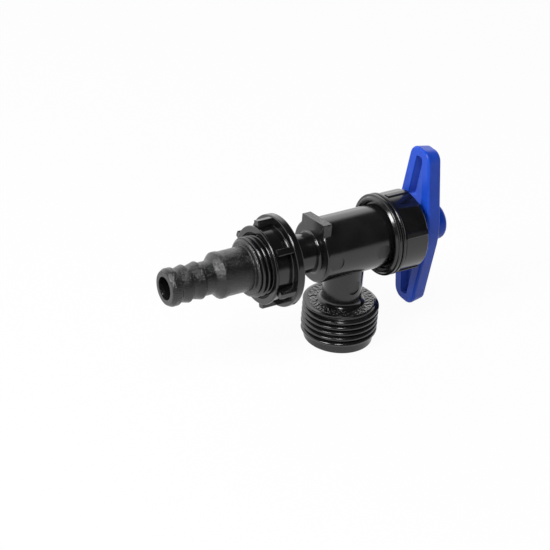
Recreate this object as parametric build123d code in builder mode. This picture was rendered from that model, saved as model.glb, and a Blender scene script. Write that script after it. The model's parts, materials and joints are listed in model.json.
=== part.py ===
from build123d import *
import os

# A washing machine tap: an angle tap whose inlet is a hose barb behind a panel, and whose outlet is a
# male hose thread pointing down. A two-winged lever turns a hollow plug a quarter turn in the barrel.
# Sizes are in millimetres. The origin is the middle of the outlet's mouth, +Z is up, and +X runs along
# the barrel from the barb to the lever. The lever stands upright when the tap is open.

os.makedirs("parts", exist_ok=True)

# Barrel, the tube that holds the plug
axis_height = 37.85  # barrel axis above the outlet's mouth
barrel_dia = 22.15
barrel_inlet_reach = 14.8  # from the outlet's axis to the end wall on the inlet side
barrel_mouth_reach = 19.2  # from the outlet's axis to the open end on the lever side
barrel_edge_round = 1.0
end_wall = 3.0
chamber_dia = 17.0
bonnet_thread_dia = 24.2
bonnet_thread_length = 6.0
bonnet_thread_lead = 0.5

# Tab on top of the barrel's inlet end, with a top that falls towards the back
tab_width = 13.6
tab_thickness = 3.1
tab_front_height = 13.4  # above the barrel axis
tab_back_height = 11.6
tab_edge_round = 0.4

# Neck, shank and hose barb, from the barrel's end wall outwards
neck_dia = 13.8
neck_length = 12.9
neck_fillet = 1.2
shank_thread_dia = 20.955
shank_thread_pitch = 1.814
shank_thread_depth = 1.16
shank_thread_turns = 7
shank_thread_length = 13.4
shank_thread_face_dia = 18.6  # where the thread's first face starts its chamfer
shank_thread_chamfer = 0.6
shank_dia = 15.5
shank_length = 10.3  # from the thread to the top of the lip
lip_dia = 16.0
lip_width = 1.5
lip_fall = 0.6  # slope from the lip down to the shank
lip_round = 0.7
step_length = 3.1
barb_root_dia = 11.5
barb_ridge_dia = 13.0
barb_length = 16.9
barb_bead_start = 1.3  # from the tip
barb_bead_width = 1.9
barb_bead_slope = 1.0
barb_bead_round = 0.8
barb_first_ridge = 7.4  # from the tip
barb_ridge_pitch = 4.85
barb_ridge_count = 2
barb_ramp = 2.9
barb_back = 0.7
barb_ridge_round = 0.35
barb_tip_round = 0.6
inlet_bore_dia = 8.0

# Outlet, a male hose thread with 11.5 turns to the inch, and the branch that carries it
outlet_thread_dia = 26.99
outlet_thread_pitch = 2.209
outlet_thread_depth = 1.25
outlet_thread_turns = 4
outlet_lead_length = 3.0
outlet_lead_round = 0.5
outlet_height = 13.85
outlet_rim_round = 0.7
outlet_bore_dia = 19.0
outlet_bore_depth = 10.6
branch_dia = 13.9
branch_bore_dia = 8.0
branch_fillet = 1.4

# Flat round marks that the mould's ejector pins leave on the front of the barrel and the branch
pin_mark_dia = 5.4
pin_mark_depth = 0.3
pin_mark_inlet_place = -10.9  # along the barrel, from the outlet's axis
pin_mark_mouth_place = 8.0
pin_mark_branch_height = 23.3  # above the outlet's mouth
pin_mark_branch_depth = 0.5

# Shape of a thread crest, as shares of its pitch
crest_share = 0.16
flank_share = 0.30

# Backnut on the shank thread, with its flange towards the barrel
panel_gap = 12.1  # between the flange and the barrel's end wall, as the nut stands at rest
backnut_length = 9.6
backnut_flange_dia = 32.1
backnut_flange_thickness = 2.7
backnut_flange_round = 0.5
backnut_core_dia = 25.8
backnut_collar_dia = 27.2
backnut_collar_width = 1.0
backnut_collar_round = 0.4
backnut_mouth_dia = 23.0
backnut_mouth_depth = 2.2
backnut_bore_chamfer = 0.5
backnut_rib_count = 6
backnut_rib_width = 2.5
backnut_rib_dia = 31.2
backnut_rib_start_angle = 43.0  # from the front towards the top
backnut_rib_round = 0.5
backnut_thread_clearance = 0.08

# Bonnet nut over the barrel's open end, with a bell lip towards the outlet
bonnet_length = 13.2
bonnet_end_wall = 2.7
bonnet_body_dia = 28.0
bonnet_body_edge = 0.5
bonnet_lip_bore_dia = 25.2
bonnet_lip_bore_depth = 1.6
bonnet_lip_tip = 0.6  # thickness of the lip at its tip
bonnet_lip_length = 0.7
bonnet_ring_dia = 29.1
bonnet_ring_width = 1.2
bonnet_ring_edge = 0.4
bonnet_ring_gap = 0.5
bonnet_ring_groove_dia = 27.6
bonnet_ring_count = 2
bonnet_rib_count = 5
bonnet_rib_width = 2.2
bonnet_rib_dia = 28.9
bonnet_rib_start_angle = 22.0
bonnet_rib_round = 0.4
bonnet_thread_clearance = 0.05

# Plug, washer and seals
plug_clearance = 0.05
plug_end_play = 0.1
plug_end_gap = 0.4
plug_hollow_dia = 9.0
plug_hollow_past_port = 6.0  # how far the hollow runs past the outlet's axis
collar_dia = 21.0
collar_thickness = 1.6
port_dia = 7.5
port_seal_dia = 11.0
port_seat_drop = 5.6  # from the barrel axis down to the seal's flat seat
port_seal_gap = 0.04
ring_section_dia = 1.6
ring_groove_width = 2.0
ring_gap = 0.03
inlet_ring_place = -8.6
stem_ring_place = 12.5
stem_dia = 9.0
stem_clearance = 0.06
washer_dia = 19.0
washer_thickness = 1.0

# Lever with two tapered wings
handle_hub_gap = 0.4  # between the bonnet nut's end and the hub
handle_hub_dia = 16.0
handle_hub_length = 2.0
handle_span = 61.2
handle_middle_width = 20.6
handle_tip_width = 10.4
handle_tip_round = 4.6
handle_thickness = 5.9
handle_draft = 9.5  # slope of the sides, narrower away from the tap
handle_edge_round = 0.9
handle_boss_dia = 13.2
handle_boss_length = 5.4
handle_boss_round = 1.6
handle_pocket_depth = 3.0
handle_pocket_start = 10.5  # from the middle of the hub
handle_pocket_tip = 27.4
handle_pocket_width = 8.0
handle_pocket_tip_width = 3.0
handle_pocket_round = 0.9
handle_pocket_draft = 4.0
drive_flats = 7.0
drive_length = 8.6
drive_clearance = 0.05

# Screw that holds the lever on the stem
screw_dia = 3.0
screw_length = 12.0
screw_head_dia = 6.4
screw_head_height = 2.2
screw_head_round = 0.6
screw_slot_length = 3.8
screw_slot_width = 0.9
screw_slot_depth = 1.1
screw_clearance = 0.1
screw_web = 1.2  # hub wall under the screw's head
screw_sink_dia = 7.4

# Places along the barrel axis, from the tip of the barb to the lever
wall_x = -barrel_inlet_reach
neck_end_x = wall_x - neck_length
shank_thread_x = neck_end_x - shank_thread_length
lip_x = shank_thread_x - shank_length
step_x = lip_x - step_length
tip_x = step_x - barb_length
chamber_x = wall_x + end_wall
mouth_x = barrel_mouth_reach
flange_x = wall_x - panel_gap
backnut_x = flange_x - backnut_length
collar_x = mouth_x + plug_end_play
washer_x = collar_x + collar_thickness + plug_end_play
bonnet_wall_x = washer_x + washer_thickness
bonnet_end_x = bonnet_wall_x + bonnet_end_wall
bonnet_x = bonnet_end_x - bonnet_length
hub_x = bonnet_end_x + handle_hub_gap
wing_x = hub_x + handle_hub_length
wing_back_x = wing_x + handle_thickness
boss_end_x = wing_back_x + handle_boss_length
stem_end_x = hub_x + drive_length
screw_seat_x = stem_end_x + screw_web

barrel_axis = Axis((0, 0, axis_height), (1, 0, 0))
barrel_section = Plane(origin=(0, 0, axis_height), x_dir=(1, 0, 0), z_dir=(0, -1, 0))


def across(place):
    """Plane across the barrel axis. Its X points to the front, its Y up, and its normal to the barb."""
    return Plane(origin=(place, 0, axis_height), x_dir=(0, -1, 0), z_dir=(-1, 0, 0))


def rounded_outline(corners):
    """Closed outline through corners that are given as (first, second, rounding)."""
    points = [corner[:2] for corner in corners]
    roundings = [corner[2] for corner in corners]
    FilletPolyline(*points, radius=roundings, close=True)


def thread_crests(start, crest_radius, depth, pitch, turns):
    """Corners of a row of thread crests, as (distance along the axis, radius) pairs."""
    corners = []
    for turn in range(turns):
        foot = start + turn * pitch
        rise = foot + flank_share * pitch
        fall = rise + crest_share * pitch
        corners.append((foot, crest_radius - depth))
        corners.append((rise, crest_radius))
        corners.append((fall, crest_radius))
        corners.append((fall + flank_share * pitch, crest_radius - depth))
    return corners


# Body: one moulding from the barb to the barrel's mouth, with the branch and the outlet below it
shank_thread_root = shank_thread_dia / 2 - shank_thread_depth
shank_crests_x = neck_end_x - shank_thread_turns * shank_thread_pitch
outlet_thread_root = outlet_thread_dia / 2 - outlet_thread_depth
outlet_rim_z = outlet_lead_length + (outlet_thread_turns + flank_share) * outlet_thread_pitch

stem_corners = [
    (tip_x, 0, 0),
    (tip_x, barb_root_dia / 2, barb_tip_round),
    (tip_x + barb_bead_start, barb_ridge_dia / 2, barb_bead_round),
    (tip_x + barb_bead_start + barb_bead_width, barb_ridge_dia / 2, barb_bead_round),
    (tip_x + barb_bead_start + barb_bead_width + barb_bead_slope, barb_root_dia / 2, barb_ridge_round),
]
for ridge in range(barb_ridge_count):
    ridge_x = tip_x + barb_first_ridge + ridge * barb_ridge_pitch
    stem_corners.append((ridge_x - barb_ramp, barb_root_dia / 2, barb_ridge_round))
    stem_corners.append((ridge_x, barb_ridge_dia / 2, barb_ridge_round))
    stem_corners.append((ridge_x + barb_back, barb_root_dia / 2, barb_ridge_round / 2))
stem_corners += [
    (step_x, barb_root_dia / 2, lip_round),
    (lip_x - lip_width / 2, lip_dia / 2, lip_round),
    (lip_x + lip_width / 2, lip_dia / 2, lip_round),
    (lip_x + lip_width / 2 + lip_fall, shank_dia / 2, 0),
    (shank_thread_x, shank_dia / 2, barb_ridge_round),
    (shank_thread_x, shank_thread_face_dia / 2, barb_ridge_round),
    (shank_thread_x + shank_thread_chamfer, shank_thread_root + shank_thread_depth / 2, 0),
    (shank_thread_x + shank_thread_chamfer, shank_thread_root, 0),
]
for along, radius in thread_crests(
    shank_crests_x, shank_thread_dia / 2, shank_thread_depth, shank_thread_pitch, shank_thread_turns
):
    stem_corners.append((along, radius, 0))
stem_corners += [
    (neck_end_x, shank_thread_root, 0),
    (neck_end_x, neck_dia / 2, 0),
    (wall_x, neck_dia / 2, neck_fillet),
    (wall_x, barrel_dia / 2, barrel_edge_round),
    (mouth_x - bonnet_thread_length, barrel_dia / 2, 0),
    (mouth_x - bonnet_thread_length, bonnet_thread_dia / 2, bonnet_thread_lead),
    (mouth_x, bonnet_thread_dia / 2, bonnet_thread_lead),
    (mouth_x, 0, 0),
]

outlet_corners = [
    (0, 0, 0),
    (outlet_thread_root, 0, outlet_lead_round),
]
for along, radius in thread_crests(
    outlet_lead_length, outlet_thread_dia / 2, outlet_thread_depth, outlet_thread_pitch, outlet_thread_turns
):
    outlet_corners.append((radius, along, 0))
outlet_corners += [
    (outlet_thread_root, outlet_rim_z - flank_share * outlet_thread_pitch, 0),
    (outlet_thread_dia / 2, outlet_rim_z, 0),
    (outlet_thread_dia / 2, outlet_height, outlet_rim_round),
    (branch_dia / 2, outlet_height, branch_fillet),
    (branch_dia / 2, axis_height, 0),
    (0, axis_height, 0),
]

with BuildPart() as body:
    with BuildSketch(barrel_section):
        with BuildLine():
            rounded_outline(stem_corners)
        make_face()
    revolve(axis=barrel_axis)
    with BuildSketch(Plane.XZ):
        with BuildLine():
            rounded_outline(outlet_corners)
        make_face()
    revolve(axis=Axis.Z)
    with BuildSketch(across(wall_x)):
        with BuildLine():
            rounded_outline(
                [
                    (-tab_width / 2, 0, 0),
                    (-tab_width / 2, tab_back_height, tab_edge_round),
                    (tab_width / 2, tab_front_height, tab_edge_round),
                    (tab_width / 2, 0, 0),
                ]
            )
        make_face()
    extrude(amount=-tab_thickness)
    with BuildSketch(across(chamber_x)):
        Circle(chamber_dia / 2)
    extrude(amount=chamber_x - mouth_x, mode=Mode.SUBTRACT)
    with BuildSketch(across(tip_x)):
        Circle(inlet_bore_dia / 2)
    extrude(amount=tip_x - chamber_x, mode=Mode.SUBTRACT)
    with BuildSketch(Plane.XY):
        Circle(outlet_bore_dia / 2)
    extrude(amount=outlet_bore_depth, mode=Mode.SUBTRACT)
    with BuildSketch(Plane.XY.offset(outlet_bore_depth)):
        Circle(branch_bore_dia / 2)
    extrude(amount=axis_height - outlet_bore_depth, mode=Mode.SUBTRACT)
    with BuildSketch(Plane.XZ.offset(barrel_dia / 2 - pin_mark_depth)):
        with Locations((pin_mark_inlet_place, axis_height), (pin_mark_mouth_place, axis_height)):
            Circle(pin_mark_dia / 2)
    extrude(amount=pin_mark_depth, mode=Mode.SUBTRACT)
    with BuildSketch(Plane.XZ.offset(branch_dia / 2 - pin_mark_branch_depth)):
        with Locations((0, pin_mark_branch_height)):
            Circle(pin_mark_dia / 2)
    extrude(amount=pin_mark_branch_depth, mode=Mode.SUBTRACT)
body.part.label = "body"
export_step(body.part, "parts/body.step")

# Backnut: a flanged nut with six grip ribs between its flange and its collar
backnut_bore = shank_thread_dia / 2 + backnut_thread_clearance
backnut_shoulder_x = flange_x - backnut_flange_thickness
backnut_rib_x = backnut_x + backnut_collar_width
with BuildPart() as backnut:
    with BuildSketch(barrel_section):
        with BuildLine():
            rounded_outline(
                [
                    (backnut_x, backnut_mouth_dia / 2, 0),
                    (backnut_x, backnut_collar_dia / 2, backnut_collar_round),
                    (backnut_rib_x, backnut_collar_dia / 2, backnut_collar_round),
                    (backnut_rib_x, backnut_core_dia / 2, 0),
                    (backnut_shoulder_x, backnut_core_dia / 2, backnut_flange_round),
                    (backnut_shoulder_x, backnut_flange_dia / 2, backnut_flange_round),
                    (flange_x, backnut_flange_dia / 2, backnut_flange_round),
                    (flange_x, backnut_bore + backnut_bore_chamfer, 0),
                    (flange_x - backnut_bore_chamfer, backnut_bore, 0),
                    (backnut_x + backnut_mouth_depth, backnut_bore, 0),
                    (backnut_x + backnut_mouth_depth, backnut_mouth_dia / 2, 0),
                ]
            )
        make_face()
    revolve(axis=barrel_axis)
    rib_depth = (backnut_rib_dia - backnut_mouth_dia) / 2 - backnut_collar_round
    with BuildSketch(across(backnut_rib_x)):
        with PolarLocations((backnut_rib_dia - rib_depth) / 2, backnut_rib_count, backnut_rib_start_angle):
            RectangleRounded(rib_depth, backnut_rib_width, backnut_rib_round)
    extrude(amount=backnut_rib_x - backnut_shoulder_x - backnut_flange_round)
backnut.part.label = "backnut"
export_step(backnut.part, "parts/backnut.step")

# Bonnet nut: a ribbed cap with two rings and a bell lip, which keeps the plug in the barrel
bonnet_bore = bonnet_thread_dia / 2 + bonnet_thread_clearance
bonnet_tip_dia = bonnet_lip_bore_dia + 2 * bonnet_lip_tip
bonnet_rings_x = bonnet_x + bonnet_lip_length
bonnet_corners = [
    (bonnet_x, bonnet_lip_bore_dia / 2, 0),
    (bonnet_x, bonnet_tip_dia / 2, 0),
    (bonnet_rings_x, bonnet_ring_groove_dia / 2, 0),
]
for ring in range(bonnet_ring_count):
    ring_x = bonnet_rings_x + ring * (bonnet_ring_width + bonnet_ring_gap)
    bonnet_corners.append((ring_x, bonnet_ring_dia / 2, bonnet_ring_edge))
    bonnet_corners.append((ring_x + bonnet_ring_width, bonnet_ring_dia / 2, bonnet_ring_edge))
    bonnet_corners.append((ring_x + bonnet_ring_width, bonnet_ring_groove_dia / 2, 0))
    bonnet_corners.append((ring_x + bonnet_ring_width + bonnet_ring_gap, bonnet_ring_groove_dia / 2, 0))
bonnet_body_x = bonnet_rings_x + bonnet_ring_count * (bonnet_ring_width + bonnet_ring_gap)
bonnet_corners += [
    (bonnet_body_x, bonnet_body_dia / 2, 0),
    (bonnet_end_x, bonnet_body_dia / 2, bonnet_body_edge),
    (bonnet_end_x, stem_dia / 2 + stem_clearance, 0),
    (bonnet_wall_x, stem_dia / 2 + stem_clearance, 0),
    (bonnet_wall_x, bonnet_bore, 0),
    (bonnet_x + bonnet_lip_bore_depth, bonnet_bore, 0),
    (bonnet_x + bonnet_lip_bore_depth, bonnet_lip_bore_dia / 2, 0),
]
with BuildPart() as bonnet_nut:
    with BuildSketch(barrel_section):
        with BuildLine():
            rounded_outline(bonnet_corners)
        make_face()
    revolve(axis=barrel_axis)
    rib_depth = (bonnet_rib_dia - bonnet_lip_bore_dia) / 2
    with BuildSketch(across(bonnet_body_x)):
        with PolarLocations((bonnet_rib_dia - rib_depth) / 2, bonnet_rib_count, bonnet_rib_start_angle):
            RectangleRounded(rib_depth, bonnet_rib_width, bonnet_rib_round)
    extrude(amount=bonnet_body_x - bonnet_end_x + bonnet_body_edge)
bonnet_nut.part.label = "bonnet_nut"
export_step(bonnet_nut.part, "parts/bonnet_nut.step")

# Plug: a hollow cylinder with a side port, two ring grooves, a collar and a stem with flats
plug_radius = chamber_dia / 2 - plug_clearance
plug_x = chamber_x + plug_end_gap
ring_radius = plug_radius - ring_gap - ring_section_dia / 2
groove_radius = ring_radius - ring_section_dia / 2 - ring_gap
port_seat_z = axis_height - port_seat_drop
with BuildPart() as plug:
    with BuildSketch(across(plug_x)):
        Circle(plug_radius)
    extrude(amount=plug_x - collar_x)
    with BuildSketch(across(collar_x)):
        Circle(collar_dia / 2)
    extrude(amount=-collar_thickness)
    with BuildSketch(across(collar_x + collar_thickness)):
        Circle(stem_dia / 2)
    extrude(amount=collar_x + collar_thickness - hub_x)
    with BuildSketch(across(hub_x)):
        Circle(stem_dia / 2)
        Rectangle(stem_dia, drive_flats, mode=Mode.INTERSECT)
    extrude(amount=-drive_length)
    with BuildSketch(barrel_section):
        for ring_place in (inlet_ring_place, stem_ring_place):
            with Locations((ring_place, (groove_radius + chamber_dia / 2) / 2)):
                Rectangle(ring_groove_width, chamber_dia / 2 - groove_radius)
    revolve(axis=barrel_axis, mode=Mode.SUBTRACT)
    with BuildSketch(across(plug_x)):
        Circle(plug_hollow_dia / 2)
    extrude(amount=plug_x - plug_hollow_past_port, mode=Mode.SUBTRACT)
    with BuildSketch(Plane.XY.offset(axis_height)):
        Circle(port_dia / 2)
    extrude(amount=-chamber_dia / 2, mode=Mode.SUBTRACT)
    with BuildSketch(Plane.XY.offset(port_seat_z)):
        Circle(port_seal_dia / 2)
    extrude(amount=port_seat_drop - chamber_dia / 2, mode=Mode.SUBTRACT)
    with BuildSketch(across(stem_end_x)):
        Circle(screw_dia / 2 + screw_clearance)
    extrude(amount=screw_length - screw_web + screw_clearance, mode=Mode.SUBTRACT)
plug.part.label = "plug"
export_step(plug.part, "parts/plug.step")

# Port seal: a rubber ring with a flat back and a curved face, which lines the port on the barrel's wall
with BuildPart() as port_seal:
    with BuildSketch(across(-port_seal_dia / 2)):
        Circle(plug_radius)
    extrude(amount=-port_seal_dia)
    with BuildSketch(Plane.XY.offset(port_seat_z - port_seal_gap)):
        Circle(port_seal_dia / 2 - port_seal_gap)
        Circle(port_dia / 2, mode=Mode.SUBTRACT)
    extrude(amount=port_seat_drop - chamber_dia / 2, mode=Mode.INTERSECT)
port_seal.part.label = "port_seal"
export_step(port_seal.part, "parts/port_seal.step")

# Two rubber rings in the plug's grooves
with BuildPart() as inlet_o_ring:
    with BuildSketch(barrel_section):
        with Locations((inlet_ring_place, ring_radius)):
            Circle(ring_section_dia / 2)
    revolve(axis=barrel_axis)
inlet_o_ring.part.label = "inlet_o_ring"
export_step(inlet_o_ring.part, "parts/inlet_o_ring.step")

with BuildPart() as stem_o_ring:
    with BuildSketch(barrel_section):
        with Locations((stem_ring_place, ring_radius)):
            Circle(ring_section_dia / 2)
    revolve(axis=barrel_axis)
stem_o_ring.part.label = "stem_o_ring"
export_step(stem_o_ring.part, "parts/stem_o_ring.step")

# Thrust washer between the plug's collar and the bonnet nut's end wall
with BuildPart() as thrust_washer:
    with BuildSketch(across(washer_x)):
        Circle(washer_dia / 2)
        Circle(stem_dia / 2 + stem_clearance, mode=Mode.SUBTRACT)
    extrude(amount=-washer_thickness)
thrust_washer.part.label = "thrust_washer"
export_step(thrust_washer.part, "parts/thrust_washer.step")

# Lever: two tapered wings, each with a triangular pocket in the face towards the tap
with BuildPart() as handle:
    with BuildSketch(across(wing_x)):
        with BuildLine():
            rounded_outline(
                [
                    (-handle_middle_width / 2, 0, handle_span / 2),
                    (-handle_tip_width / 2, handle_span / 2, handle_tip_round),
                    (handle_tip_width / 2, handle_span / 2, handle_tip_round),
                    (handle_middle_width / 2, 0, handle_span / 2),
                    (handle_tip_width / 2, -handle_span / 2, handle_tip_round),
                    (-handle_tip_width / 2, -handle_span / 2, handle_tip_round),
                ]
            )
        make_face()
    extrude(amount=-handle_thickness, taper=handle_draft)
    pocket_face = handle.faces().sort_by(Axis.X)[0]
    fillet(pocket_face.edges(), handle_edge_round)
    back_face = handle.faces().sort_by(Axis.X)[-1]
    fillet(back_face.edges(), handle_edge_round)
    with BuildSketch(across(wing_back_x)):
        Circle(handle_boss_dia / 2)
    extrude(amount=-handle_boss_length)
    boss_edge = handle.edges().filter_by(GeomType.CIRCLE).sort_by(Axis.X)[-1]
    fillet(boss_edge, handle_boss_round)
    with BuildSketch(across(wing_x)):
        for side in (1, -1):
            with BuildLine():
                rounded_outline(
                    [
                        (-handle_pocket_width / 2, side * handle_pocket_start, handle_pocket_round),
                        (handle_pocket_width / 2, side * handle_pocket_start, handle_pocket_round),
                        (handle_pocket_tip_width / 2, side * handle_pocket_tip, handle_pocket_round),
                        (-handle_pocket_tip_width / 2, side * handle_pocket_tip, handle_pocket_round),
                    ]
                )
            make_face()
    extrude(amount=-handle_pocket_depth, taper=handle_pocket_draft, mode=Mode.SUBTRACT)
    with BuildSketch(across(hub_x)):
        Circle(handle_hub_dia / 2)
    extrude(amount=hub_x - wing_x)
    with BuildSketch(across(hub_x)):
        Circle(stem_dia / 2 + drive_clearance)
        Rectangle(stem_dia + 2 * drive_clearance, drive_flats + 2 * drive_clearance, mode=Mode.INTERSECT)
    extrude(amount=-drive_length, mode=Mode.SUBTRACT)
    with BuildSketch(across(stem_end_x)):
        Circle(screw_dia / 2 + screw_clearance)
    extrude(amount=-screw_web, mode=Mode.SUBTRACT)
    with BuildSketch(across(screw_seat_x)):
        Circle(screw_sink_dia / 2)
    extrude(amount=screw_seat_x - boss_end_x, mode=Mode.SUBTRACT)
handle.part.label = "handle"
export_step(handle.part, "parts/handle.step")

# Screw with a rounded head and a cross slot, sunk in the hub
screw_top_x = screw_seat_x + screw_head_height
with BuildPart() as handle_screw:
    with BuildSketch(barrel_section):
        with BuildLine():
            rounded_outline(
                [
                    (screw_seat_x - screw_length, 0, 0),
                    (screw_seat_x - screw_length, screw_dia / 2, screw_head_round),
                    (screw_seat_x, screw_dia / 2, 0),
                    (screw_seat_x, screw_head_dia / 2, 0),
                    (screw_top_x, screw_head_dia / 2, screw_head_round),
                    (screw_top_x, 0, 0),
                ]
            )
        make_face()
    revolve(axis=barrel_axis)
    with BuildSketch(across(screw_top_x)):
        Rectangle(screw_slot_length, screw_slot_width)
        Rectangle(screw_slot_width, screw_slot_length)
    extrude(amount=screw_slot_depth, mode=Mode.SUBTRACT)
handle_screw.part.label = "handle_screw"
export_step(handle_screw.part, "parts/handle_screw.step")
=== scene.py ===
# %% [markdown]
# # A washing machine tap
# The tap is a black moulded angle tap with a blue lever. Its pieces come from a CAD model at their real
# size, and this script gives them their looks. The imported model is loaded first, and nothing in it is
# moved. Every length below is in metres, so a millimetre is a named value.

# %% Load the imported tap
import json
import math

import bmesh
import bpy
from mathutils import Matrix, Vector

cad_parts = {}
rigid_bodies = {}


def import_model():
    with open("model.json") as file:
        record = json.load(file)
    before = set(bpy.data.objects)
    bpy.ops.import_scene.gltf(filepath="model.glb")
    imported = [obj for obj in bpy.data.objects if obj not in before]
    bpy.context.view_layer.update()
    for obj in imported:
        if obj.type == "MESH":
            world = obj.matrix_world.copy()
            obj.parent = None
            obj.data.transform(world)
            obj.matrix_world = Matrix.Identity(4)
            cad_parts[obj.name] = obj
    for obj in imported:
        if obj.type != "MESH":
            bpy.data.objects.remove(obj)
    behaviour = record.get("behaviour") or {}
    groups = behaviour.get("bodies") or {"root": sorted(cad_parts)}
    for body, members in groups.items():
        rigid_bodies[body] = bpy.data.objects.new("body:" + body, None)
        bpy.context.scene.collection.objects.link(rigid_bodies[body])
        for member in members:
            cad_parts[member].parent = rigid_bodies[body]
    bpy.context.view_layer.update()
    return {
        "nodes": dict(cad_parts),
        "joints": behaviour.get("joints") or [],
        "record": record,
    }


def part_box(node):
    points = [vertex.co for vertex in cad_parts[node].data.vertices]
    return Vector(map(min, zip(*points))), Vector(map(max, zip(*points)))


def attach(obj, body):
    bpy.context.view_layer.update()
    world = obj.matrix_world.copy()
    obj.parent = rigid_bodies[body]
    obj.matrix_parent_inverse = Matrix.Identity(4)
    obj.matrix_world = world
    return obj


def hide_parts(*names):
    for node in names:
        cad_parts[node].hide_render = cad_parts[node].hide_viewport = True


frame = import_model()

MM = 0.001
nodes = frame["nodes"]
mounts = {mount["name"]: mount for mount in frame["record"]["mounts"]}
joints = {joint["name"]: joint for joint in frame["joints"]}
barrel_height = joints["lever_turn"]["pos_m"][2]
print("nodes:", ", ".join(sorted(nodes)), "- barrel axis at", round(barrel_height / MM, 2), "mm")

# %% [markdown]
# ## The camera
# The photo looks down on the tap from its front left, through a long lens, so that far things look hardly
# smaller. A camera can be placed by hand, but here it stands on a line that an azimuth and an elevation
# give, looks along that line, and rolls a little, because the tap leans in the photo.

# %% Camera
CAMERA_AZIMUTH = math.radians(-33.73)
CAMERA_ELEVATION = math.radians(30.87)
CAMERA_ROLL = math.radians(4.49)
CAMERA_DISTANCE = 652.5 * MM
CAMERA_TARGET = Vector((-28.54, 0, 32.06)) * MM
CAMERA_LENS = 126.1
SENSOR_WIDTH = 36


def direction(azimuth, elevation):
    """Unit vector from the tap towards a camera or a lamp."""
    across = math.cos(elevation)
    return Vector((math.sin(azimuth) * across, -math.cos(azimuth) * across, math.sin(elevation)))


def facing(towards):
    """Turn that makes a camera or a lamp look back along a direction."""
    return (-towards).to_track_quat("-Z", "Y").to_matrix().to_4x4()


camera = bpy.data.objects.new("camera", bpy.data.cameras.new("camera"))
bpy.context.scene.collection.objects.link(camera)
camera.data.lens = CAMERA_LENS
camera.data.sensor_width = SENSOR_WIDTH
towards_camera = direction(CAMERA_AZIMUTH, CAMERA_ELEVATION)
place = Matrix.Translation(CAMERA_TARGET + towards_camera * CAMERA_DISTANCE)
camera.matrix_world = place @ facing(towards_camera) @ Matrix.Rotation(CAMERA_ROLL, 4, "Z")
bpy.context.scene.camera = camera
print("camera at", [round(value / MM) for value in camera.matrix_world.translation], "mm")

# %% [markdown]
# ## The floor
# Black plastic shows mostly what it reflects, so the studio is half of its finish. A white floor gives the
# tap its light undersides. A square would do, but a disc ends at the same distance on every side. It lies a
# hair below the tap, so that the two never share a plane.

# %% Floor
FLOOR_RADIUS = 6.0
FLOOR_SEGMENTS = 64
FLOOR_DROP = 0.05 * MM


def link_piece(mesh, name):
    """Object for a mesh, linked to the scene."""
    piece = bpy.data.objects.new(name, mesh)
    bpy.context.scene.collection.objects.link(piece)
    return piece


floor_bm = bmesh.new()
bmesh.ops.create_circle(floor_bm, cap_ends=True, segments=FLOOR_SEGMENTS, radius=FLOOR_RADIUS)
bmesh.ops.translate(floor_bm, verts=floor_bm.verts, vec=(0, 0, -FLOOR_DROP))
floor_mesh = bpy.data.meshes.new("floor")
floor_bm.to_mesh(floor_mesh)
floor_bm.free()
floor = link_piece(floor_mesh, "floor")
print("floor:", FLOOR_RADIUS * 2, "m across")

# %% [markdown]
# ## The floor's white
# More lamp light would burn the floor white, but it would bleach the tap too. So most of the floor's white is
# its own glow, which only the camera and mirror rays see. The rest is light grey paint, which keeps the tap's
# soft shadow.

# %% Floor paint and its glow
FLOOR_COLOUR = (0.6, 0.6, 0.6, 1)
FLOOR_ROUGHNESS = 0.9
FLOOR_SHEEN = 0.1
FLOOR_GLOW_SHARE = 0.95


def new_material(name):
    """New material, its node tree and its shader."""
    material = bpy.data.materials.new(name)
    material.use_nodes = True
    tree = material.node_tree
    shader = tree.nodes["Principled BSDF"]
    return material, tree, shader


floor_paint, floor_tree, floor_shader = new_material("white_floor")
floor_shader.inputs["Base Color"].default_value = FLOOR_COLOUR
floor_shader.inputs["Roughness"].default_value = FLOOR_ROUGHNESS
floor_shader.inputs["Specular IOR Level"].default_value = FLOOR_SHEEN
floor_glow = floor_tree.nodes.new("ShaderNodeEmission")
floor_mix = floor_tree.nodes.new("ShaderNodeMixShader")
ray_kind = floor_tree.nodes.new("ShaderNodeLightPath")
seen = ray_kind.outputs["Is Camera Ray"]
for mirror_ray in ("Is Glossy Ray", "Is Transmission Ray"):
    either = floor_tree.nodes.new("ShaderNodeMath")
    floor_tree.links.new(seen, either.inputs[0])
    floor_tree.links.new(ray_kind.outputs[mirror_ray], either.inputs[1])
    seen = either.outputs["Value"]
glow_share = floor_tree.nodes.new("ShaderNodeMath")
glow_share.operation = "MULTIPLY"
glow_share.inputs[1].default_value = FLOOR_GLOW_SHARE
floor_tree.links.new(seen, glow_share.inputs[0])
floor_tree.links.new(glow_share.outputs["Value"], floor_mix.inputs["Fac"])
floor_tree.links.new(floor_shader.outputs["BSDF"], floor_mix.inputs[1])
floor_tree.links.new(floor_glow.outputs["Emission"], floor_mix.inputs[2])
floor_tree.links.new(floor_mix.outputs["Shader"], floor_tree.nodes["Material Output"].inputs["Surface"])
floor_mesh.materials.append(floor_paint)
print("floor paint:", len(floor_tree.nodes), "nodes")

# %% [markdown]
# ## The room
# The room is white behind the tap, as a paper sweep is, and dark above the camera, which keeps the middle
# of the barrel black. The sweep is somewhat brighter than white paper, so that edges and pebbles that face
# it shine. A picture of a studio could light the tap, but a ramp along one leaning direction gives the same
# two halves with three nodes.

# %% Room
ROOM_DARK_SIDE = (0, -0.41, 0.91)
ROOM_WHITE_END = 0.24
ROOM_DARK_START = 0.46
ROOM_WHITE = (1, 1, 1, 1)
ROOM_DARK = (0.035, 0.035, 0.035, 1)
ROOM_STRENGTH = 1.7

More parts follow.
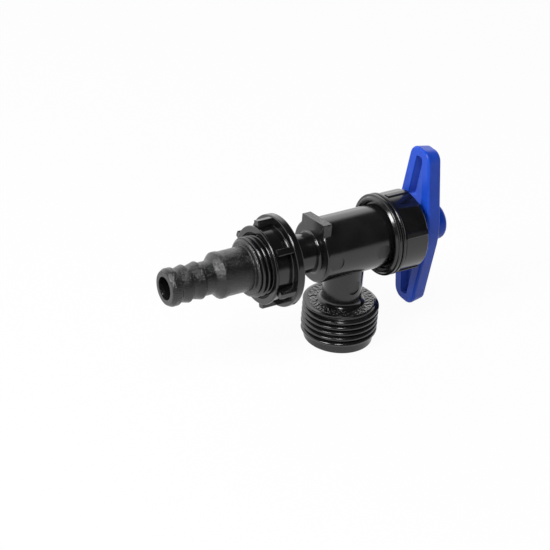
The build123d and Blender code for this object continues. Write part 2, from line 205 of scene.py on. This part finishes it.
world = bpy.data.worlds.new("studio")
bpy.context.scene.world = world
world.use_nodes = True
room = world.node_tree
room_place = room.nodes.new("ShaderNodeTexCoord")
room_lean = room.nodes.new("ShaderNodeVectorMath")
room_lean.operation = "DOT_PRODUCT"
room_lean.inputs[1].default_value = ROOM_DARK_SIDE
room_ramp = room.nodes.new("ShaderNodeValToRGB")
room_white, room_dark = room_ramp.color_ramp.elements
room_white.position = ROOM_WHITE_END
room_white.color = ROOM_WHITE
room_dark.position = ROOM_DARK_START
room_dark.color = ROOM_DARK
room.nodes["Background"].inputs["Strength"].default_value = ROOM_STRENGTH
room.links.new(room_place.outputs["Generated"], room_lean.inputs[0])
room.links.new(room_lean.outputs["Value"], room_ramp.inputs["Fac"])
room.links.new(room_ramp.outputs["Color"], room.nodes["Background"].inputs["Color"])
bpy.context.scene.view_settings.view_transform = "Standard"
print("room:", len(room.nodes), "nodes")

# %% [markdown]
# ## The lamps
# A soft lamp at the left lights the faces that look that way. A tall one above the camera draws the
# highlights: a round edge mirrors only a thin slice of it, so rings and lips get long bright lines, while
# the barrel, which mirrors the right side of the room, stays black.

# %% Lamps


def softbox(name, azimuth, elevation, distance, width, height, power):
    """Soft lamp that shines on the tap, with its angles in degrees and its power in watts."""
    lamp = bpy.data.lights.new(name, "AREA")
    lamp.shape = "RECTANGLE"
    lamp.size = width
    lamp.size_y = height
    lamp.energy = power
    towards = direction(math.radians(azimuth), math.radians(elevation))
    box = bpy.data.objects.new(name, lamp)
    bpy.context.scene.collection.objects.link(box)
    spot = Vector((0, 0, barrel_height)) + towards * distance
    box.matrix_world = Matrix.Translation(spot) @ facing(towards)
    return box


left_lamp = softbox(
    "left_lamp", azimuth=-80, elevation=40, distance=0.8, width=0.3, height=0.3, power=6.5
)
camera_lamp = softbox(
    "camera_lamp", azimuth=-34, elevation=68, distance=0.9, width=0.14, height=0.45, power=3.8
)
for box in (left_lamp, camera_lamp):
    print(box.name, "gives", round(box.data.energy, 1), "W")

# %% [markdown]
# ## Moulded plastic
# Every plastic here is built the same way: a colour that drifts very slightly, as pigment does in a
# moulding, a gloss that varies in patches, and a grain that the steel mould has left. The grain is noise, or
# round cells where the steel was etched and the plastic sparkles. Images could hold these, but textures that
# read object coordinates need no unwrapping and have the same scale on every piece.

# %% Plastic recipe
PLASTIC_IOR = 1.56
PATCH_SIZE = 9 * MM
PATCH_DETAIL = 3
GRAIN_DETAIL = 2
NOISE_RANGE = (0.35, 0.65)
PEBBLE_SMOOTHNESS = 0.4


def noise_at(tree, coords, size, detail):
    """Noise texture on object coordinates, with features of a given size."""
    noise = tree.nodes.new("ShaderNodeTexNoise")
    noise.inputs["Scale"].default_value = 1 / size
    noise.inputs["Detail"].default_value = detail
    tree.links.new(coords.outputs["Object"], noise.inputs["Vector"])
    return noise


def pebbles_at(tree, coords, size):
    """Round cells on object coordinates, lowest in the middle of each."""
    cells = tree.nodes.new("ShaderNodeTexVoronoi")
    cells.feature = "SMOOTH_F1"
    cells.inputs["Scale"].default_value = 1 / size
    cells.inputs["Smoothness"].default_value = PEBBLE_SMOOTHNESS
    tree.links.new(coords.outputs["Object"], cells.inputs["Vector"])
    return cells


def moulded_plastic(name, dark, light, roughness, grain_size, grain_depth, pebbled=False):
    """Plastic whose colour runs from dark to light, with a roughness range and a grain of a given size."""
    material, tree, shader = new_material(name)
    coords = tree.nodes.new("ShaderNodeTexCoord")
    patches = noise_at(tree, coords, PATCH_SIZE, PATCH_DETAIL)
    tint = tree.nodes.new("ShaderNodeValToRGB")
    for element, place, colour in zip(tint.color_ramp.elements, NOISE_RANGE, (dark, light)):
        element.position = place
        element.color = (*colour, 1)
    tree.links.new(patches.outputs["Fac"], tint.inputs["Fac"])
    tree.links.new(tint.outputs["Color"], shader.inputs["Base Color"])
    shader.inputs["IOR"].default_value = PLASTIC_IOR
    gloss = tree.nodes.new("ShaderNodeMapRange")
    limits = ("From Min", "From Max", "To Min", "To Max")
    for limit, value in zip(limits, (*NOISE_RANGE, *roughness)):
        gloss.inputs[limit].default_value = value
    tree.links.new(patches.outputs["Fac"], gloss.inputs["Value"])
    tree.links.new(gloss.outputs["Result"], shader.inputs["Roughness"])
    if pebbled:
        grain = pebbles_at(tree, coords, grain_size).outputs["Distance"]
    else:
        grain = noise_at(tree, coords, grain_size, GRAIN_DETAIL).outputs["Fac"]
    bump = tree.nodes.new("ShaderNodeBump")
    bump.invert = pebbled
    bump.inputs["Distance"].default_value = grain_depth
    tree.links.new(grain, bump.inputs["Height"])
    tree.links.new(bump.outputs["Normal"], shader.inputs["Normal"])
    return material


print("plastic: index", PLASTIC_IOR, "with patches of", round(PATCH_SIZE / MM), "mm")

# %% [markdown]
# ## The black plastics
# The body is one moulding, but its mould isn't finished the same all over. The barrel and the threads are
# smooth, the barb, the plain shank and the tab have a fine grain that sparkles, the outlet's top is pebbled,
# and the marks of the ejector pins are dull. One material could mix these by place, but a material for each
# is easier to read, and faces can be given to it. The nuts are a little glossier than the body.

# %% Black materials
black_body = moulded_plastic(
    "black_body", dark=(0.004, 0.004, 0.0044), light=(0.007, 0.007, 0.0076),
    roughness=(0.13, 0.20), grain_size=0.5 * MM, grain_depth=0.006 * MM,
)
black_grained = moulded_plastic(
    "black_grained", dark=(0.004, 0.004, 0.0044), light=(0.009, 0.009, 0.0096),
    roughness=(0.16, 0.22), grain_size=0.36 * MM, grain_depth=0.135 * MM, pebbled=True,
)
black_pebbled = moulded_plastic(
    "black_pebbled", dark=(0.006, 0.006, 0.0065), light=(0.012, 0.012, 0.013),
    roughness=(0.09, 0.15), grain_size=0.8 * MM, grain_depth=0.64 * MM, pebbled=True,
)
black_mark = moulded_plastic(
    "black_mark", dark=(0.003, 0.003, 0.0033), light=(0.005, 0.005, 0.0055),
    roughness=(0.34, 0.46), grain_size=0.45 * MM, grain_depth=0.06 * MM,
)
black_nut = moulded_plastic(
    "black_nut", dark=(0.003, 0.003, 0.0033), light=(0.006, 0.006, 0.0065),
    roughness=(0.12, 0.18), grain_size=0.7 * MM, grain_depth=0.008 * MM,
)
blacks = (black_body, black_grained, black_pebbled, black_mark, black_nut)
print("black:", ", ".join(material.name for material in blacks))

# %% [markdown]
# ## The lever's blue and the inner pieces
# The lever's blue is deep and satin. Its faces mirror the white floor and room, so a full mirror layer would
# turn it pale, and its specular level is kept low. Its pockets are duller, as spark-cut steel leaves them,
# and their blue is painted paler, a painted fill light for the sunk floor and walls that less light reaches.
# Inside the tap are uncoloured plastic, rubber and one steel screw. All follow the same recipe, and the steel
# is made metallic.

# %% Blue, natural, rubber and steel
LEVER_SHEEN = 0.16

blue_lever = moulded_plastic(
    "blue_lever", dark=(0.006, 0.044, 0.37), light=(0.009, 0.056, 0.43),
    roughness=(0.30, 0.40), grain_size=0.5 * MM, grain_depth=0.008 * MM,
)
# The pocket's blue is paler than the lever's as painted fill light for the sunk pocket; its duller gloss is
# its own finish.
blue_pocket_painted_fill = moulded_plastic(
    "blue_pocket_painted_fill", dark=(0.04, 0.095, 0.46), light=(0.055, 0.12, 0.54),
    roughness=(0.50, 0.60), grain_size=0.6 * MM, grain_depth=0.05 * MM,
)
for blue in (blue_lever, blue_pocket_painted_fill):
    blue.node_tree.nodes["Principled BSDF"].inputs["Specular IOR Level"].default_value = LEVER_SHEEN
natural_plastic = moulded_plastic(
    "natural_plastic", dark=(0.70, 0.68, 0.61), light=(0.80, 0.78, 0.72),
    roughness=(0.35, 0.45), grain_size=0.6 * MM, grain_depth=0.006 * MM,
)
rubber = moulded_plastic(
    "rubber", dark=(0.012, 0.012, 0.012), light=(0.022, 0.022, 0.022),
    roughness=(0.55, 0.70), grain_size=0.3 * MM, grain_depth=0.02 * MM,
)
steel = moulded_plastic(
    "steel", dark=(0.52, 0.52, 0.54), light=(0.64, 0.64, 0.66),
    roughness=(0.22, 0.34), grain_size=0.25 * MM, grain_depth=0.01 * MM,
)
steel.node_tree.nodes["Principled BSDF"].inputs["Metallic"].default_value = 1
others = (blue_lever, blue_pocket_painted_fill, natural_plastic, rubber, steel)
print("others:", ", ".join(material.name for material in others))

# %% [markdown]
# ## Finishes on the CAD pieces
# The nuts and what is inside keep the shapes that the CAD model gives them, so they only need their
# material. It goes in the material slots of the pieces' meshes, and the meshes stay as they are.

# %% Materials for the pieces that stay
NODE_FINISH = {
    "backnut": black_nut,
    "bonnet_nut": black_nut,
    "handle_screw": steel,
    "plug": natural_plastic,
    "thrust_washer": natural_plastic,
    "port_seal": rubber,
    "inlet_o_ring": rubber,
    "stem_o_ring": rubber,
}
for node_name, finish in NODE_FINISH.items():
    nodes[node_name].data.materials.clear()
    nodes[node_name].data.materials.append(finish)
print("finished", len(NODE_FINISH), "CAD pieces")

# %% [markdown]
# ## Copies of CAD meshes
# Two pieces get more than a material: the body gets real threads and a crown, and the lever gets eased
# edges. Their CAD meshes aren't touched. A copy is merged into one surface first, because a CAD mesh is loose
# triangles. It is then shaded smooth, and its sharp edges stay sharp.

# %% Helpers for copied pieces
MERGE = 0.001 * MM
NEAR = 0.02 * MM
SHARP_ANGLE = math.radians(28)
UP = Vector((0, 0, 1))
ALONG_BARREL = Vector((1, 0, 0))
barrel_centre = UP * barrel_height


def copied(node_name):
    """Merged copy of a CAD node's mesh."""
    bm = bmesh.new()
    bm.from_mesh(nodes[node_name].data)
    bmesh.ops.remove_doubles(bm, verts=bm.verts, dist=MERGE)
    return bm


def radius_about(point, centre, axis):
    """Distance of a point from an axis through a centre."""
    offset = point - centre
    return (offset - axis * offset.dot(axis)).length


def dressed(bm, name, finishes, finish_of):
    """Piece made of a bmesh, with a finish for each face and smooth shading between sharp edges."""
    for face in bm.faces:
        face.smooth = True
        face.material_index = finish_of(face)
    for edge in bm.edges:
        edge.smooth = len(edge.link_faces) == 2 and edge.calc_face_angle(0) < SHARP_ANGLE
    mesh = bpy.data.meshes.new(name)
    bm.to_mesh(mesh)
    bm.free()
    if "custom_normal" in mesh.attributes:
        mesh.attributes.remove(mesh.attributes["custom_normal"])
    for finish in finishes:
        mesh.materials.append(finish)
    piece = link_piece(mesh, name)
    even = piece.modifiers.new("even_normals", "WEIGHTED_NORMAL")
    even.keep_sharp = True
    return piece


print("edges stay sharp from", round(math.degrees(SHARP_ANGLE)), "degrees")

# %% [markdown]
# ## Threads that climb
# In the CAD model the threads are rows of plain rings, and on the real tap they climb. So the rings come
# off and a ridge that climbs by the pitch at each turn is swept round instead. A screw modifier could do
# this too, but a spin with a shift along the axis keeps it all in one mesh, and lets both ends fade out. The
# crest is well rounded, as on moulded threads, so that it draws a bright line.

# %% Thread ridge
STEPS_PER_TURN = 96
THREAD_SINK = 0.3 * MM
RUN_OUT_TURNS = 0.22
CREST_SHARE = 0.36
FOOT_SHARE = 0.92
CREST_ROUND_SHARE = 0.17
CREST_ROUND_STEPS = 3


def eased(share):
    """Share of the way, held between 0 and 1, that starts and ends gently."""
    share = min(1, max(0, share))
    return share * share * (3 - 2 * share)


def ridge_outline(bm, root, crest, pitch):
    """Wire outline of a ridge, with a rounded crest."""
    half_foot = FOOT_SHARE * pitch / 2
    half_crest = CREST_SHARE * pitch / 2
    outline = [
        (root - THREAD_SINK, -half_foot),
        (root, -half_foot),
        (crest, -half_crest),
        (crest, half_crest),
        (root, half_foot),
        (root - THREAD_SINK, half_foot),
    ]
    verts = [bm.verts.new((radius, 0, height)) for radius, height in outline]
    for index, vert in enumerate(verts):
        bm.edges.new((vert, verts[index - 1]))
    bmesh.ops.bevel(
        bm, geom=verts[2:4], offset=CREST_ROUND_SHARE * pitch, segments=CREST_ROUND_STEPS, profile=0.5,
        affect="VERTICES", material=-1,
    )


def thread_ridge(root, crest, pitch, turns):
    """Mesh of a right-hand thread's ridge that climbs +Z from the XY plane and fades out at both ends."""
    bm = bmesh.new()
    ridge_outline(bm, root, crest, pitch)
    bmesh.ops.spin(
        bm, geom=bm.verts[:] + bm.edges[:], cent=(0, 0, 0), axis=UP, angle=2 * math.pi * turns,
        steps=round(STEPS_PER_TURN * turns), dvec=(0, 0, pitch / STEPS_PER_TURN),
    )
    bmesh.ops.holes_fill(bm, edges=[edge for edge in bm.edges if edge.is_boundary], sides=0)
    sunk = root - THREAD_SINK / 2
    for vert in bm.verts:
        radius = math.hypot(vert.co.x, vert.co.y)
        if radius < sunk:
            continue
        angle = math.atan2(vert.co.y, vert.co.x) / (2 * math.pi)
        turn = round(vert.co.z / pitch - angle) + angle
        share = eased(min(turn, turns - turn) / RUN_OUT_TURNS)
        scale = (sunk + (radius - sunk) * share) / radius
        vert.co.x *= scale
        vert.co.y *= scale
    bmesh.ops.recalc_face_normals(bm, faces=bm.faces)
    return bm


print("thread:", STEPS_PER_TURN, "steps a turn, each end fades over", RUN_OUT_TURNS, "turns")

# %% [markdown]
# ## The outlet's crown
# The real outlet's thread runs right up to a flat pebbled top with an eased edge, and the branch stands on
# it with a rounded foot. This is a lathe form: an outline of five points, two of its corners eased and one
# rounded, spun once round the outlet's axis. It takes the place of the plain rim of the CAD body.

# %% Outlet crown
BRANCH_RADIUS = 6.95 * MM
BRANCH_CUT = 17.6 * MM
CROWN_START = 13.0 * MM
CROWN_END = 17.2 * MM
WALL_HEIGHT = 14.75 * MM
EDGE_EASE = 0.2 * MM
TOP_RADIUS = 11.8 * MM
TOP_HEIGHT = 15.2 * MM
FOOT_ROUND = 1.8 * MM
FOOT_STEPS = 8
EDGE_STEPS = 3


def outlet_crown(root):
    """Mesh of the outlet's upper wall, its flat top and the foot of the branch, open at both ends."""
    bm = bmesh.new()
    outline = [
        (root, CROWN_START),
        (root, WALL_HEIGHT),
        (TOP_RADIUS, TOP_HEIGHT),
        (BRANCH_RADIUS, TOP_HEIGHT),
        (BRANCH_RADIUS, CROWN_END),
    ]
    verts = [bm.verts.new((radius, 0, height)) for radius, height in outline]
    for first, second in zip(verts, verts[1:]):
        bm.edges.new((first, second))
    for corners, size, steps in ((verts[3:4], FOOT_ROUND, FOOT_STEPS), (verts[1:3], EDGE_EASE, EDGE_STEPS)):
        bmesh.ops.bevel(
            bm, geom=corners, offset=size, segments=steps, profile=0.5, affect="VERTICES", material=-1
        )
    bmesh.ops.spin(
        bm, geom=bm.verts[:] + bm.edges[:], cent=(0, 0, 0), axis=UP, angle=2 * math.pi,
        steps=STEPS_PER_TURN, use_merge=True,
    )
    bmesh.ops.recalc_face_normals(bm, faces=bm.faces)
    return bm


print("crown: flat top at", round(TOP_HEIGHT / MM, 2), "mm, foot rounded by", round(FOOT_ROUND / MM, 2), "mm")

# %% [markdown]
# ## Cutting and joining
# The real body leaves its mould in one piece, with its threads. Here its copy is worked like a turned part:
# outer faces come off between two places along an axis, open loops are bridged, and other meshes are joined.
# Boolean cuts could do it, but loops that lie on one axis bridge cleanly.

# %% Copy of the body, and how it is cut and joined
body_bm = copied("body")
print("body copy:", len(body_bm.faces), "faces")


def shave(bm, centre, axis, span, inner):
    """Takes the outer faces away between two places along an axis, down to an inner radius."""
    doomed = []
    for face in bm.faces:
        along = [(vert.co - centre).dot(axis) for vert in face.verts]
        if min(along) < span[0] - NEAR or max(along) > span[1] + NEAR:
            continue
        if min(radius_about(vert.co, centre, axis) for vert in face.verts) > inner - NEAR:
            doomed.append(face)
    bmesh.ops.delete(bm, geom=doomed, context="FACES")
    return len(doomed)


def bridge_open(bm, lowest=-math.inf, highest=math.inf):
    """Bridges the open loops between two heights."""
    loops = [edge for edge in bm.edges if edge.is_boundary and lowest < edge.verts[0].co.z < highest]
    bmesh.ops.bridge_loops(bm, edges=loops)


def join(bm, other, matrix):
    """Places another mesh and joins it to a piece's mesh."""
    bmesh.ops.transform(other, matrix=matrix, verts=other.verts)
    carrier = bpy.data.meshes.new("carrier")
    other.to_mesh(carrier)
    other.free()
    bm.from_mesh(carrier)
    bpy.data.meshes.remove(carrier)


# %% [markdown]
# ## The body
# The copy of the body loses its rings and its plain rim, the crown goes in, and the open loops are bridged
# with the threads' roots. The branch is cut across before its foot comes off, so that the crown meets a clean
# loop there. No edge may be left open at the end.

# %% Body without its rings, with its crown
OUTLET_DEPTH = 1.25 * MM
OUTLET_RINGS = (3.0 * MM, 11.84 * MM)
BRANCH_BORE_WALL = 5.0 * MM
SHANK_CREST = 20.955 / 2 * MM
SHANK_DEPTH = 1.16 * MM
SHANK_RINGS = (-40.398 * MM, -27.7 * MM)

outlet_crest = mounts["outlet_thread"]["dims"]["r_mm"] * MM
outlet_root = outlet_crest - OUTLET_DEPTH
shank_root = SHANK_CREST - SHANK_DEPTH
removed = shave(body_bm, barrel_centre, ALONG_BARREL, SHANK_RINGS, shank_root)
bridge_open(body_bm)
whole_body = body_bm.verts[:] + body_bm.edges[:] + body_bm.faces[:]
bmesh.ops.bisect_plane(body_bm, geom=whole_body, dist=MERGE, plane_co=UP * BRANCH_CUT, plane_no=UP)
removed += shave(body_bm, Vector(), UP, OUTLET_RINGS, outlet_root)
removed += shave(body_bm, Vector(), UP, (OUTLET_RINGS[1], BRANCH_CUT), BRANCH_BORE_WALL)
join(body_bm, outlet_crown(outlet_root), Matrix())
bridge_open(body_bm, highest=TOP_HEIGHT)
bridge_open(body_bm, lowest=TOP_HEIGHT)
bmesh.ops.recalc_face_normals(body_bm, faces=body_bm.faces)
still_open = sum(edge.is_boundary for edge in body_bm.edges)
print("body:", removed, "faces taken off,", still_open, "open edges left")

# %% [markdown]
# ## The body's two threads
# The outlet has a hose thread and the shank a pipe thread, both right-handed. Each ridge is made at the
# origin, then placed and joined, with its foot sunk in the root so that no gap shows. The outlet's last turn
# would climb past the flat top, so what stands too high is pressed down to just below it.

# %% Threads on the body
OUTLET_PITCH = 2.209 * MM
OUTLET_START = 3.1 * MM
OUTLET_START_ANGLE = math.radians(84)
OUTLET_TURNS = 5.48
LEDGE_DROP = 0.05 * MM
SHANK_PITCH = 1.814 * MM
SHANK_TURNS = 6.8

outlet_ridge = thread_ridge(outlet_root, outlet_crest, OUTLET_PITCH, OUTLET_TURNS)
ledge = TOP_HEIGHT - LEDGE_DROP - OUTLET_START
for vert in outlet_ridge.verts:
    vert.co.z = min(vert.co.z, ledge)
to_outlet = Matrix.Translation((0, 0, OUTLET_START)) @ Matrix.Rotation(OUTLET_START_ANGLE, 4, "Z")
join(body_bm, outlet_ridge, to_outlet)
shank_ridge = thread_ridge(shank_root, SHANK_CREST, SHANK_PITCH, SHANK_TURNS)
to_shank = Matrix.Translation((SHANK_RINGS[0], 0, barrel_height)) @ Matrix.Rotation(math.pi / 2, 4, "Y")
join(body_bm, shank_ridge, to_shank)
print("threads:", OUTLET_TURNS, "turns on the outlet,", SHANK_TURNS, "on the shank")

# %% [markdown]
# ## The body's finishes
# Parts of a mould are polished, others are etched, and its pins leave marks. A painted mask could tell these
# apart, but each finish has a clear place on the body, so a face's place and direction choose its material.

# %% Finish of each of the body's faces
SMOOTH, GRAINED, PEBBLED, MARKED = range(4)
SHANK_GRAIN_END = -40.5 * MM
BARREL_RADIUS = 11.075 * MM
TAB_END = -11.6 * MM
TAB_RISE = 0.1 * MM
PIN_MARK_PLANES = (-10.775 * MM, -6.45 * MM)
FLAT = 0.99


def body_finish(face):
    """Which finish a face of the body has."""
    middle = face.calc_center_median()
    if face.normal.z > FLAT and abs(middle.z - TOP_HEIGHT) < NEAR:
        return PEBBLED
    if face.normal.y < -FLAT and min(abs(middle.y - plane) for plane in PIN_MARK_PLANES) < NEAR:
        return MARKED
    from_barrel = radius_about(middle, barrel_centre, ALONG_BARREL)
    on_tab = middle.x < TAB_END and middle.z > barrel_height and from_barrel > BARREL_RADIUS + TAB_RISE
    if middle.x < SHANK_GRAIN_END or on_tab:
        return GRAINED
    return SMOOTH


body_finishes = (black_body, black_grained, black_pebbled, black_mark)
tap_body = dressed(body_bm, "tap_body", body_finishes, body_finish)
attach(tap_body, "tap")
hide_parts("body")
print("tap_body:", len(tap_body.data.polygons), "faces")

# %% [markdown]
# ## The lever
# The rims of the lever's two pockets are eased on the real one, and the eased edge catches the light as a
# thin bright line. A bevel modifier would ease every edge, so the two rims are picked by their place, and
# a bevel operator rounds just those.

# %% Lever with eased pockets
HUB_LENGTH = 2.0 * MM
HUB_CLEAR = 9.0 * MM
POCKET_EASE = 0.35 * MM
POCKET_EASE_STEPS = 3
POCKET_DEPTH = 3.0 * MM
POCKET_HALF_WIDTH = 4.2 * MM
POCKET_REACH = 28.0 * MM
RIM_ANGLE = math.radians(60)
PLANE_ANGLE = math.radians(0.5)
PLAIN_BLUE, POCKET_BLUE_PAINTED_FILL = range(2)

wing_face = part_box("handle")[0][0] + HUB_LENGTH
lever_bm = copied("handle")
bmesh.ops.dissolve_limit(
    lever_bm, angle_limit=PLANE_ANGLE, verts=lever_bm.verts, edges=lever_bm.edges
)
rims = []
for edge in lever_bm.edges:
    on_face = all(abs(vert.co.x - wing_face) < NEAR for vert in edge.verts)
    past_hub = radius_about(edge.verts[0].co, barrel_centre, ALONG_BARREL) > HUB_CLEAR
    if on_face and past_hub and edge.calc_face_angle(0) > RIM_ANGLE:
        rims.append(edge)
bmesh.ops.bevel(
    lever_bm, geom=rims, offset=POCKET_EASE, segments=POCKET_EASE_STEPS, profile=0.5,
    affect="EDGES", material=-1,
)


def lever_finish(face):
    """Which finish a face of the lever has."""
    middle = face.calc_center_median()
    sunk = POCKET_EASE < middle.x - wing_face < POCKET_DEPTH + NEAR
    inside = HUB_CLEAR < abs(middle.z - barrel_height) < POCKET_REACH and abs(middle.y) < POCKET_HALF_WIDTH
    # Sunk pocket faces take the paler blue, which is painted fill light for the recess.
    return POCKET_BLUE_PAINTED_FILL if sunk and inside else PLAIN_BLUE


tap_lever = dressed(lever_bm, "tap_lever", (blue_lever, blue_pocket_painted_fill), lever_finish)
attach(tap_lever, "lever")
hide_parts("handle")
print("tap_lever:", len(rims), "rim edges eased,", len(tap_lever.data.polygons), "faces")
